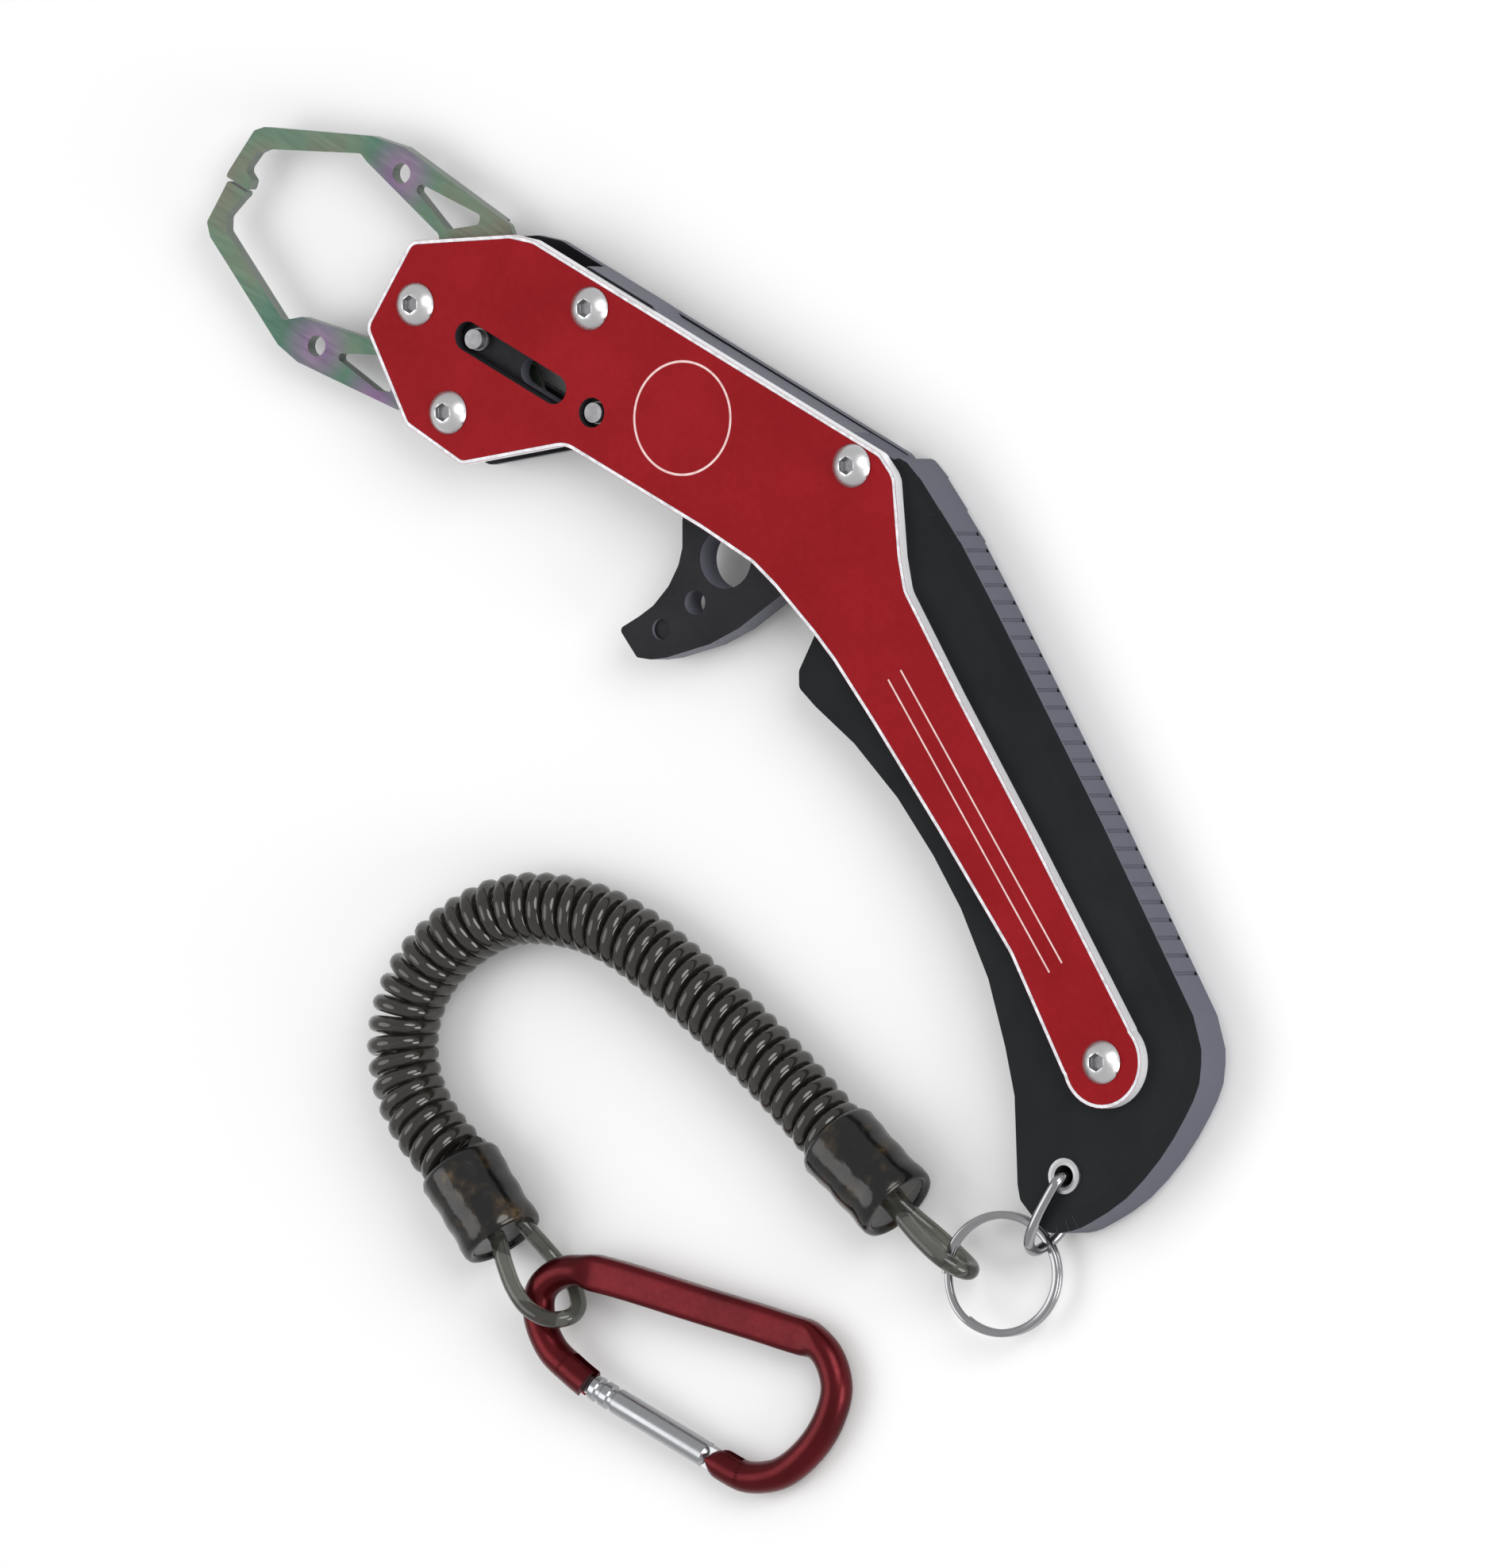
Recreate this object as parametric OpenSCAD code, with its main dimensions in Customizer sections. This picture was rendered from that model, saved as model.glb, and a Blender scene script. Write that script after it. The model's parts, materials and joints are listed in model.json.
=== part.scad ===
// Pistol-grip fish gripper with a curly lanyard and a carabiner.
// Lies on its back: floor at z = 0, +X from the jaw pivot towards the grip, +Z out of the front plate.
// All sizes are in millimetres.

// One named sub-part, or all of them

/* [Plates] */
// Thickness of the front plate
front_t = 2.2; // [1.5:0.1:3]
// Thickness of the rear plate
rear_t = 1.6; // [1.2:0.1:2]
// Half width of the pin slot cut in both plates
plate_slot_r = 2.6; // [2.4:0.1:3]
// Radius of the window around the guide pin
guide_window_r = 2.6; // [2.3:0.1:3]

/* [Jaws] */
// Thickness of the jaw steel
jaw_t = 2.4; // [2.2:0.1:3.4]
// Gap between the closed jaw tips
tip_gap = 0.5; // [0.3:0.1:1]
// Radius of the jaw boss around the pivot
boss_r = 8.0; // [7:0.5:9]
// Radius of the small hole in each jaw
jaw_hole_r = 1.8; // [1.4:0.1:2.2]

/* [Drive] */
// Travel of the trigger and its pull rod
travel = 15; // [8:1:18]
// Opening angle of each jaw at full travel, in degrees
jaw_angle = 20; // [10:1:24]
// Radius of the drive pin and the guide pin
pin_r = 2.0; // [1.6:0.1:2.2]
// Radius of the front ends of the drive pin and guide pin
pin_tip_r = 1.75; // [1.5:0.05:2]
// Free length of the plate's slot ahead of the closed drive pin
slot_lead = 1.0; // [0:0.1:1.5]
// Gap around the pins in the jaw tails and the rod
cam_gap = 0.3; // [0.3:0.05:0.6]
// Half width of the pull rod
rod_half = 3.5; // [3:0.1:4]

/* [Grip] */
// Thickness of the grip
grip_t = 10.5; // [9:0.5:12]
// Number of grooves across the backstrap
groove_count = 26; // [0:1:30]
// Distance between grooves
groove_pitch = 3.5; // [3:0.1:4]
// Radius of each groove
groove_r = 0.4; // [0.3:0.1:1]
// Distance from the top of the backstrap to the first groove
groove_start = 4.0; // [0:0.5:8]

/* [Screws] */
// Radius of the button heads
head_r = 3.8; // [3.4:0.1:4]
// Height of the button heads
head_h = 2.2; // [1.8:0.1:2.4]
// Width of the hexagon socket across its corners
socket_d = 3.2; // [2.4:0.1:3.2]

/* [Lanyard] */
// Outer diameter of the curly cord
coil_d = 12.7; // [10:0.1:16]
// Diameter of the cord itself
cord_d = 3.0; // [2:0.1:3.2]
// Diameter of the end caps
cap_d = 15.2; // [13:0.1:16]
// Diameter of the split ring's middle line
ring_d = 20.4; // [20:0.1:22]

/* [Carabiner] */
// Radius of the carabiner's round section
clip_r = 2.8; // [2.2:0.1:2.8]
// Radius of the gate bar
gate_r = 2.3; // [1.8:0.1:2.3]

/* [Hidden] */
$fn = 40;

// Heights of the layers.
nut_h = 2.0;
rear_top = nut_h + rear_t;
jaw_low = rear_top + 1.2;
jaw_top = jaw_low + jaw_t;
lap_t = (jaw_t - 0.2) / 2;
rod_low = jaw_top + 0.3;
rod_top = grip_t - 0.3;
trigger_low = rear_top + 0.3;
trigger_top = 9.3;
plate_top = grip_t + front_t;

// Screw axes.
screw_a = [0, 0];
screw_b = [32.1, 15.8];
screw_c = [14.7, -13.5];
screw_d = [92.1, 16.3];
screw_e = [184.5, -51.1];
through_screws = [screw_a, screw_b, screw_c, screw_d];
screw_r = 2.0;
screw_hole_r = 2.2;

// Pins on the barrel axis.
drive_x = 13.1;
guide_x = 40.8;
slot_end_x = 32.0;

// Spring behind the trigger.
spring_r = 2.7;
spring_wire = 0.8;
spring_z = 6.6;
trigger_back = 88.0;
well_end = trigger_back + travel + 1.0;
spring_end = 122.0;

// Outline of the front plate, from the head's upper left round by the grip.
front_outline = [[-6, 9.3], [11.6, 19.6], [16.4, 21], [96.3, 20.8], [99.9, 19.1], [101, 18.2],
                 [108.2, 7], [111.9, 2.4], [129.4, -8.5], [153.8, -23], [188.7, -44.4],
                 [180.3, -57.8], [159.5, -43.2], [137.1, -31.4], [116.3, -20.9], [104.4, -15.2],
                 [98.5, -12.9], [87.9, -9.4], [81.8, -7.9], [70, -7.4], [38.6, -7.5], [21.3, -20.3],
                 [7.9, -19.4], [-7.3, -8.2]];
strip_end_r = 7.95;
rear_end_x = 98.0;

// Outline of the grip, from its upper inner corner down the front edge and up the backstrap.
grip_front = [[97.8, 21.3], [97.8, -20.6], [99.2, -23.2], [103.6, -24.5], [113.6, -26.5],
              [125.7, -30.7], [136.7, -36.1], [145.9, -41.6], [156.4, -49.7], [164.9, -58.5],
              [170.5, -65.1], [178.1, -78.3], [179.8, -80.4]];
grip_tail = [[184.5, -82.2], [187.6, -82.7], [191.3, -80.3], [194.0, -77.2], [198.3, -70.3],
             [201.2, -61.1], [202.3, -52.5], [202.1, -45.9], [199.7, -40.5]];
grip_back = [[195.6, -36.2], [189.2, -32.0], [182.9, -27.9], [164.6, -15.9], [138.1, 0.7],
             [126.0, 8.2], [116.5, 13.9], [110.5, 16.9], [104.2, 20.0], [100.5, 21.3]];
grip_outline = concat(grip_front, smooth(grip_tail, 2), grip_back);
slope_from = len(grip_front) + 2;
backstrap = [[111.0, 16.6], [116.5, 13.9], [126.0, 8.2], [138.1, 0.7], [164.6, -15.9],
             [182.9, -27.9], [189.2, -32.0], [195.6, -36.2], [199.7, -40.5]];
tongue_x = 88.0;
tongue_y = 6.0;

// Jaw arms, both with the tips closed.
upper_arm = [[-48.3, 0], [-48.2, 1.4], [-46.8, 10], [-45.2, 11.5], [-24.8, 20.2], [-17.8, 21.6],
             [7.8, 19.6], [12.5, 15.5], [9, 6], [0, 0], [-6.2, 5], [-3.6, 11.2], [-23.6, 15.8],
             [-25.4, 16.5], [-43.2, 8.2], [-44.5, 6.8], [-45.3, 3.1], [-43.2, 2.1], [-42.9, 0]];
lower_arm = [[-47.6, 0], [-47.6, -1.4], [-48.1, -8.6], [-46.3, -10.6], [-25.1, -20.8],
             [-20.1, -21.6], [-14.7, -21.1], [2, -19.5], [5.4, -17.8], [8.5, -6], [0, 0], [-6.2, -5],
             [-3.4, -10.1], [-22.9, -14.2], [-26.2, -16.6], [-43.9, -8.1], [-45, -5.9],
             [-43.7, -1.8], [-42.9, 0]];
upper_window = [[-12.7, 16.2], [-11.7, 17.5], [1.6, 18.3], [1.9, 16.6], [-3.4, 12.9]];
lower_window = [[-13.9, -17.2], [-12.7, -16.1], [-6.4, -13.1], [-2, -12.6], [-0.6, -17.7],
                [-3.2, -18.4]];
lap_outline = [[-10.5, -8], [-7, -10.5], [0, -10.5], [0, -14], [30, -14], [30, 14], [0, 14],
               [0, 10.5], [-7, 10.5], [-10.5, 8]];

// Trigger outline, tongue under the rod included.
trigger_outline = [[63.5, 3.5], [63.5, -7.3], [64.0, -8.9], [66.2, -13.1], [66.9, -16.2],
                   [66.8, -20.3], [65.6, -24.7], [63.9, -27.7], [61.3, -31.5], [66.8, -34.2],
                   [69.5, -33.2], [72.2, -31.4], [78.9, -25.3], [82.9, -20.1], [88.0, -10.8],
                   [88.0, 3.5]];

// Eyelet, link and split ring at the tail of the grip.
eye = [185.9, -72.5];
eye_hole_r = 1.9;
link_dir = -95.7;
link_len = 15.6;
link_r = 0.9;
link_low = 1.0;
link_high = 12.2;
ring_at = [179.6, -95.0, 5.0];
ring_lean = 10;
ring_yaw = 27.7;

// Cord routes: end loops, caps and the fat tube of the curly cord.
cap_z = 7.7;
cap_grip_ends = [[140.2, -89.3, cap_z], [157.2, -93.7, cap_z]];
cap_clip_ends = [[74.3, -129.6, cap_z], [88.8, -136.7, cap_z]];
coil_route = [[140.2, -89.3, 7.4], [127.8, -85.9, 6.8], [113.7, -82.6, 6.6], [99.2, -80.0, 6.6],
              [85.4, -78.6, 6.6], [74.1, -80.3, 6.6], [63.0, -85.6, 6.6], [55.5, -94.6, 6.6],
              [51.9, -104.7, 6.6], [53.0, -114.5, 6.6], [58.1, -122.3, 6.6], [65.3, -126.9, 6.9],
              [74.3, -129.6, 7.4]];
loop_grip_route = [[155.8, -93.3, 9.4], [159.5, -94.4, 9.8], [164.5, -95.7, 10.4],
                   [169.5, -96.7, 10.5], [172.8, -97.2, 9.3], [174.2, -97.4, 6.8],
                   [173.0, -97.3, 4.2], [169.5, -96.9, 3.0], [164.5, -95.8, 3.4],
                   [159.5, -94.6, 4.8], [155.8, -93.5, 5.9]];
loop_clip_route = [[86.6, -135.6, 8.9], [88.9, -137.0, 9.4], [92.0, -139.6, 10.0],
                   [96.0, -142.3, 10.6], [100.3, -143.9, 10.9], [104.6, -143.8, 10.3],
                   [107.0, -142.2, 8.3], [106.3, -140.8, 5.4], [103.4, -139.3, 2.9],
                   [99.8, -137.8, 1.7], [95.6, -136.2, 2.2], [92.2, -134.3, 4.2],
                   [89.6, -133.0, 5.6], [87.6, -132.6, 6.2]];

// Carabiner, drawn flat and then leaned on the cord that runs under its small end.
clip_heel = [160, 0, 2.85];
clip_lean = 3.2;
gate_pivot = [144.3, -151.3];
nose_x = 114.4;
clip_route = [[114.4, -151.3, 0], [110.6, -150.7, 0], [105.3, -149.4, 0], [100.8, -146.0, 0],
              [98.7, -141.7, 0], [100.1, -137.6, 0], [103.9, -134.7, 0], [111.6, -132.3, 0],
              [127.1, -128.8, 0], [143.5, -125.1, 0], [151.9, -123.9, 0], [157.5, -128.0, 0],
              [159.1, -134.1, 0], [158.2, -140.8, 0], [155.0, -147.1, 0], [149.6, -150.8, 0],
              [144.3, -151.3, 0]];
panel_from = 0.36;
panel_to = 0.60;

// ---- Paths and sweeps ----

function unit(v) = v / norm(v);
function clamp_at(p, i) = p[max(0, min(len(p) - 1, i))];
function spline(a, b, c, d, t) =
    0.5 * (2 * b + (c - a) * t + (2 * a - 5 * b + 4 * c - d) * t * t
           + (3 * b - a - 3 * c + d) * t * t * t);
function smooth(p, n) =
    [for (i = [0 : len(p) - 2], k = [0 : n - 1])
         spline(clamp_at(p, i - 1), p[i], p[i + 1], clamp_at(p, i + 2), k / n),
     p[len(p) - 1]];
function heading(p, i) = unit(clamp_at(p, i + 1) - clamp_at(p, i - 1));
function section(p, i, wide, high, sides) =
    let (t = heading(p, i), s = unit(cross([0, 0, 1], t)), u = cross(t, s))
    [for (k = [0 : sides - 1])
         p[i] + wide * cos(360 * k / sides) * s + high * sin(360 * k / sides) * u];
function skin_faces(rings, sides) =
    [for (i = [0 : rings - 2], k = [0 : sides - 1], half = [0, 1])
         let (a = i * sides + k, b = i * sides + (k + 1) % sides)
         half == 0 ? [a, b + sides, b] : [a, a + sides, b + sides]];

// Sweeps an ellipse along a path; sizes holds [half width, half height] for each ring.
module sweep(path, sizes, sides) {
    rings = len(path);
    points = [for (i = [0 : rings - 1]) each section(path, i, sizes[i][0], sizes[i][1], sides)];
    first = [for (k = [0 : sides - 1]) k];
    last = [for (k = [sides - 1 : -1 : 0]) (rings - 1) * sides + k];
    polyhedron(points, concat([first], skin_faces(rings, sides), [last]));
}

module cord(path, r, sides) {
    sweep(path, [for (p = path) [r, r]], sides);
}

// ---- Shared shapes ----

module rounded(points, out_r, in_r) {
    offset(r = -in_r)
    offset(delta = in_r)
    offset(r = out_r)
    offset(delta = -out_r)
    polygon(points);
}

module slab(low, high) {
    translate([0, 0, low])
    linear_extrude(high - low)
    children();
}

module post(at, r, low, high) {
    translate([at[0], at[1], low])
    cylinder(r = r, h = high - low);
}

module slot(x1, x2, r, low, high) {
    hull() {
        post([x1, 0], r, low, high);
        post([x2, 0], r, low, high);
    }
}

// ---- Frame ----

module front_plate() {
    color([0.60, 0.12, 0.13])
    difference() {
        slab(grip_t, plate_top)
        union() {
            rounded(front_outline, 2.5, 5);
            translate(screw_e)
            circle(strip_end_r);
        }
        for (s = concat(through_screws, [screw_e]))
            post(s, screw_hole_r, grip_t - 1, plate_top + 1);
        slot(drive_x - slot_lead, slot_end_x, plate_slot_r, grip_t - 1, plate_top + 1);
        post([guide_x, 0], guide_window_r, grip_t - 1, plate_top + 1);
    }
}

module rear_plate() {
    color([0.08, 0.08, 0.09])
    difference() {
        slab(nut_h, rear_top)
        intersection() {
            rounded(front_outline, 2.5, 5);
            translate([-20, -40])
            square([20 + rear_end_x, 80]);
        }
        for (s = through_screws)
            post(s, screw_hole_r, 0, rear_top + 1);
        slot(drive_x, slot_end_x, plate_slot_r, 0, rear_top + 1);
    }
}

module top_rail() {
    color([0.16, 0.16, 0.18])
    difference() {
        slab(rear_top, grip_t)
        polygon([[25.5, 18.2], [27.5, 16.2], [32.1, 11.6], [36.5, 12.6], [40.0, 14.2],
                 [tongue_x, 14.2], [tongue_x, 20.6], [44.5, 20.6], [42.0, 21.5], [27.0, 21.5]]);
        post(screw_b, screw_hole_r, 0, plate_top);
    }
}

module grip() {
    color([0.07, 0.07, 0.08])
    difference() {
        union() {
            slab(0, grip_t)
            rounded(grip_outline, 1.5, 1.5);
            slab(rear_top, grip_t)
            translate([tongue_x, tongue_y])
            square([rear_end_x + 4 - tongue_x, 20.6 - tongue_y]);
        }
        // Step that takes the end of the rear plate.
        translate([tongue_x - 1, -13.4, -1])
        cube([rear_end_x + 0.3 - tongue_x + 1, 40, 1 + rear_top]);
        // Well for the trigger and channel for the rod.
        translate([tongue_x - 1, -22.4, rear_top])
        cube([well_end - tongue_x + 1, 22.4 + 4.6, trigger_top + 0.3 - rear_top]);
        translate([tongue_x - 1, -4.6, rear_top])
        cube([well_end - tongue_x + 1, 9.2, 10]);
        translate([tongue_x, 0, spring_z])
        rotate([0, 90, 0])
        cylinder(r = spring_r + 0.3, h = spring_end - tongue_x);
        post(screw_d, screw_hole_r, 0, grip_t + 1);
        post(screw_e, 3.0, 2.5, grip_t + 1);
        post(eye, 2.4, -1, grip_t + 1);
        link_groove();
        grooves();
        backstrap_slopes();
    }
}

// Sloping cut along one straight edge; up is 1 on the front face and -1 on the back.
module edge_cut(a, b, wide, deep, z, up) {
    run = b - a;
    translate([a[0], a[1], z])
    rotate([0, 0, atan2(run[1], run[0])])
    translate([-0.5, 0, 0])
    rotate([90, 0, 90])
    linear_extrude(norm(run) + 1.0)
    polygon([[wide, 0], [wide, up], [-1, up], [-1, -up * deep * (wide + 1) / wide]]);
}

// The slopes fade in and out over the first and last few edges.
module backstrap_slopes() {
    last = len(grip_outline) - 2;
    for (i = [slope_from : last]) {
        fade = min(1, (i - slope_from + 1) / 4, (last - i + 1) / 4);
        edge_cut(grip_outline[i], grip_outline[i + 1], 2.0 * fade, 2.0 * fade, 0, -1);
        edge_cut(grip_outline[i], grip_outline[i + 1], 3.0 * fade, 0.5 * fade, grip_t, 1);
    }
}

module link_groove() {
    translate([eye[0], eye[1], -1])
    rotate([0, 0, link_dir])
    translate([-1.7, -1.7, 0])
    cube([link_len + 4, 3.4, 1 + link_low + link_r + 0.5]);
}

// Point at a given distance along a flat path.
function along(p, d, i = 0) =
    let (step = norm(p[i + 1] - p[i]))
    d <= step || i == len(p) - 2 ? p[i] + (p[i + 1] - p[i]) * d / step : along(p, d - step, i + 1);

// Both edges of the backstrap stay whole beside the grooves.
module grooves() {
    for (i = [0 : groove_count - 1])
        post(along(backstrap, groove_start + i * groove_pitch), groove_r, 2.3, grip_t - 1.0);
}

module grip_insert() {
    color([0.75, 0.62, 0.32])
    difference() {
        post(screw_e, 3.0, 2.5, grip_t);
        post(screw_e, screw_r - 0.05, 3.5, grip_t + 1);
    }
}

module post_sleeve() {
    color([0.70, 0.70, 0.72])
    difference() {
        post(screw_c, 3.4, rear_top, grip_t);
        post(screw_c, screw_hole_r, rear_top - 1, grip_t + 1);
    }
}

module pivot_bush() {
    color([0.72, 0.72, 0.74])
    difference() {
        post(screw_a, 3.0, rear_top, grip_t);
        post(screw_a, screw_hole_r, rear_top - 1, grip_t + 1);
    }
}

module collar(r, low, high) {
    difference() {
        post(screw_a, r, low, high);
        post(screw_a, 3.0, low - 1, high + 1);
    }
}

module jaw_washer() {
    color([0.78, 0.78, 0.80])
    collar(6.5, rear_top, jaw_low - 0.1);
}

module jaw_spacer() {
    color([0.70, 0.70, 0.72])
    collar(5.5, jaw_top + 0.1, grip_t);
}

// ---- Jaws ----

// Pin position in a jaw's own frame after the rod has moved by s.
function cam_point(s, side) =
    let (turn = jaw_angle * s / travel)
    (drive_x + s) * [cos(turn), side * sin(turn)];

function cam_normal(s, side) =
    let (t = unit(cam_point(s + 0.05, side) - cam_point(s - 0.05, side))) [-t[1], t[0]];

function turned(v, a) = [v[0] * cos(a) - v[1] * sin(a), v[0] * sin(a) + v[1] * cos(a)];

module cam_band(side, r) {
    stops = [for (i = [0 : 8]) travel * i / 8];
    near = [for (s = stops) cam_point(s, side) + r * cam_normal(s, side)];
    fore = [for (k = [1 : 5])
            cam_point(travel, side) + r * turned(cam_normal(travel, side), -30 * k)];
    far = [for (i = [8 : -1 : 0]) cam_point(stops[i], side) - r * cam_normal(stops[i], side)];
    aft = [for (k = [1 : 5]) cam_point(0, side) - r * turned(cam_normal(0, side), -30 * k)];
    polygon(concat(near, fore, far, aft));
}

// Arm, boss and cam tail in one outline, with a small fillet where they meet.
module jaw_flat(side, arm) {
    offset(r = -0.5)
    offset(delta = 0.5)
    union() {
        rounded(arm, 0.8, 1.2);
        circle(boss_r);
        cam_band(side, pin_r + cam_gap + 2.0);
        polygon([[0, -side * 4], [0, side * 7.5], [drive_x, side * 4.2], [drive_x, -side * 4.2]]);
    }
}

module jaw(side, arm, window, hole, lap_low) {
    difference() {
        intersection() {
            slab(jaw_low, jaw_top)
            jaw_flat(side, arm);
            union() {
                slab(jaw_low, jaw_top)
                difference() {
                    translate([-60, -30])
                    square([66, 60]);
                    polygon(lap_outline);
                }
                slab(lap_low, lap_low + lap_t)
                translate([-60, -30])
                square([100, 60]);
            }
        }
        slab(jaw_low - 1, jaw_top + 1)
        offset(r = 0.7)
        offset(delta = -0.7)
        polygon(window);
        slab(jaw_low - 1, jaw_top + 1)
        cam_band(side, pin_r + cam_gap);
        post(hole, jaw_hole_r, jaw_low - 1, jaw_top + 1);
        post(screw_a, 3.05, jaw_low - 1, jaw_top + 1);
        // Half of the gap between the closed tips.
        translate([-50, -tip_gap / 2, jaw_low - 1])
        cube([12, tip_gap, jaw_t + 2]);
    }
}

module upper_jaw() {
    color([0.42, 0.50, 0.42])
    jaw(1, upper_arm, upper_window, [-16.3, 17.3], jaw_top - lap_t);
}

module lower_jaw() {
    color([0.40, 0.48, 0.42])
    jaw(-1, lower_arm, lower_window, [-17.9, -17.3], jaw_low);
}

// ---- Drive ----

module pull_rod() {
    color([0.10, 0.10, 0.11])
    difference() {
        slab(rod_low, rod_top)
        rounded([[9.6, -rod_half], [trigger_back, -rod_half], [trigger_back, rod_half],
                 [9.6, rod_half]], 1.5, 0);
        post([drive_x, 0], pin_r, rod_low - 1, rod_top + 1);
        slot(guide_x - travel - 0.5, guide_x + 0.5, pin_r + cam_gap, rod_low - 1, rod_top + 1);
        for (x = [68, 84])
            post([x, 0], 1.5, rod_low - 1, rod_top + 1);
    }
}

// Pin with a thinner front end where it stands in the front plate.
module stepped_pin(x, low) {
    union() {
        post([x, 0], pin_r, low, grip_t + 0.2);
        post([x, 0], pin_tip_r, grip_t, plate_top - 0.4);
    }
}

module drive_pin() {
    color([0.82, 0.82, 0.84])
    stepped_pin(drive_x, 2.4);
}

module guide_pin() {
    color([0.82, 0.82, 0.84])
    stepped_pin(guide_x, rear_top);
}

module trigger() {
    color([0.08, 0.08, 0.09])
    difference() {
        slab(trigger_low, trigger_top)
        rounded(trigger_outline, 0.8, 3);
        translate([60, -rod_half - 0.2, rod_low])
        cube([40, 2 * rod_half + 1, 10]);
        post([74.9, -10.7], 5.2, 0, plate_top);
        post([72.9, -20.3], 2.1, 0, plate_top);
        post([68.9, -27.6], 1.8, trigger_top - 0.8, plate_top);
        for (x = [68, 84])
            post([x, 0], 1.5, 0, plate_top);
    }
}

module trigger_rivets() {
    color([0.75, 0.75, 0.78])
    for (x = [68, 84])
        post([x, 0], 1.5, trigger_low, rod_top);
}

module return_spring() {
    color([0.70, 0.71, 0.74])
    translate([trigger_back, 0, spring_z])
    rotate([0, 90, 0])
    difference() {
        cylinder(r = spring_r, h = spring_end - trigger_back);
        translate([0, 0, -1])
        cylinder(r = spring_r - spring_wire, h = spring_end);
    }
}

// ---- Screws ----

module button_screw(at, low) {
    difference() {
        union() {
            post(at, screw_r, low, plate_top + 0.2);
            translate([at[0], at[1], plate_top])
            rotate_extrude()
            intersection() {
                square([head_r, head_h]);
                translate([0, -2.4])
                circle(r = 4.6);
            }
        }
        translate([at[0], at[1], plate_top + head_h - 1.3])
        cylinder(d = socket_d, h = 2, $fn = 6);
    }
}

module plate_screws() {
    color([0.80, 0.80, 0.82])
    union() {
        for (s = through_screws)
            button_screw(s, 0.9);
        button_screw(screw_e, 4.5);
    }
}

module plate_nuts() {
    color([0.72, 0.72, 0.74])
    for (s = through_screws)
        difference() {
            post(s, head_r, 0, nut_h);
            post(s, screw_r - 0.05, 0.6, nut_h + 1);
        }
}

// ---- Tail fittings ----

module eyelet() {
    color([0.80, 0.80, 0.82])
    translate([eye[0], eye[1], 0])
    rotate_extrude()
    polygon([[eye_hole_r, 2.6], [2.4, 2.6], [2.4, grip_t], [3.15, grip_t], [3.1, grip_t + 0.5],
             [2.5, grip_t + 0.7], [eye_hole_r, grip_t + 0.5]]);
}

// Bent wire link: round the tail from the eyelet hole, in an upright plane.
module link() {
    bend = 1.6;
    long = link_len;
    high = link_high - link_low;
    color([0.85, 0.85, 0.87])
    translate([eye[0], eye[1], link_low])
    rotate([0, 0, link_dir])
    rotate([90, 0, 0])
    union() {
        for (y = [0, high])
            translate([bend, y, 0])
            rotate([0, 90, 0])
            cylinder(r = link_r, h = long - 2 * bend, $fn = 20);
        for (x = [0, long])
            translate([x, bend, 0])
            rotate([-90, 0, 0])
            cylinder(r = link_r, h = high - 2 * bend, $fn = 20);
        for (c = [[bend, bend, 180], [long - bend, bend, 270], [long - bend, high - bend, 0],
                  [bend, high - bend, 90]])
            translate([c[0], c[1], 0])
            rotate([0, 0, c[2]])
            rotate_extrude(angle = 90, $fn = 40)
            translate([bend, 0])
            circle(link_r, $fn = 20);
    }
}

module split_ring() {
    color([0.78, 0.78, 0.80])
    translate(ring_at)
    rotate([0, 0, ring_yaw])
    rotate([0, ring_lean, 0])
    rotate_extrude($fn = 64)
    translate([ring_d / 2 - 0.7, -1.2])
    offset(r = 0.3, $fn = 12)
    offset(delta = -0.3)
    square([1.4, 2.4]);
}

// ---- Lanyard ----

module cord_loop_grip() {
    color([0.25, 0.25, 0.22])
    cord(smooth(loop_grip_route, 4), cord_d / 2, 10);
}

module cord_loop_clip() {
    color([0.25, 0.25, 0.22])
    cord(smooth(loop_clip_route, 4), cord_d / 2, 10);
}

module end_cap(ends) {
    run = ends[1] - ends[0];
    translate(ends[0])
    rotate([0, 0, atan2(run[1], run[0])])
    rotate([0, 90, 0])
    rotate_extrude()
    polygon([[0, 0], [cap_d / 2 - 0.8, 0], [cap_d / 2, 0.8], [cap_d / 2, norm(run) - 0.8],
             [cap_d / 2 - 0.8, norm(run)], [0, norm(run)]]);
}

module cap_grip() {
    color([0.12, 0.11, 0.10])
    end_cap(cap_grip_ends);
}

module cap_clip() {
    color([0.12, 0.11, 0.10])
    end_cap(cap_clip_ends);
}

module lanyard_coil() {
    color([0.14, 0.12, 0.10])
    cord(smooth(coil_route, 4), coil_d / 2, 12);
}

// ---- Carabiner ----

module leaned() {
    translate(clip_heel)
    rotate([0, clip_lean, 0])
    translate([-clip_heel[0], 0, 0])
    children();
}

// Section of the carabiner: round, pressed flatter along the spine panel.
function press(t) =
    let (a = min(1, max(0, (t - panel_from) / 0.03)), b = min(1, max(0, (panel_to - t) / 0.03)))
    min(a, b);

module carabiner_body() {
    path = smooth(clip_route, 3);
    count = len(path) - 1;
    color([0.50, 0.06, 0.10])
    leaned()
    difference() {
        union() {
            sweep(path, [for (i = [0 : count])
                             [clip_r + 0.5 * press(i / count), clip_r - 0.7 * press(i / count)]], 12);
            post(gate_pivot, clip_r + 0.2, -2.2, 2.2);
        }
        translate([gate_pivot[0] - 4, gate_pivot[1] - 4, -1.1])
        cube([7.4, 8, 2.2]);
        translate([nose_x - 5, -156, -1.1])
        cube([6, 11, 2.2]);
        post(gate_pivot, 0.8, -4, 4);
    }
}

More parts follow.
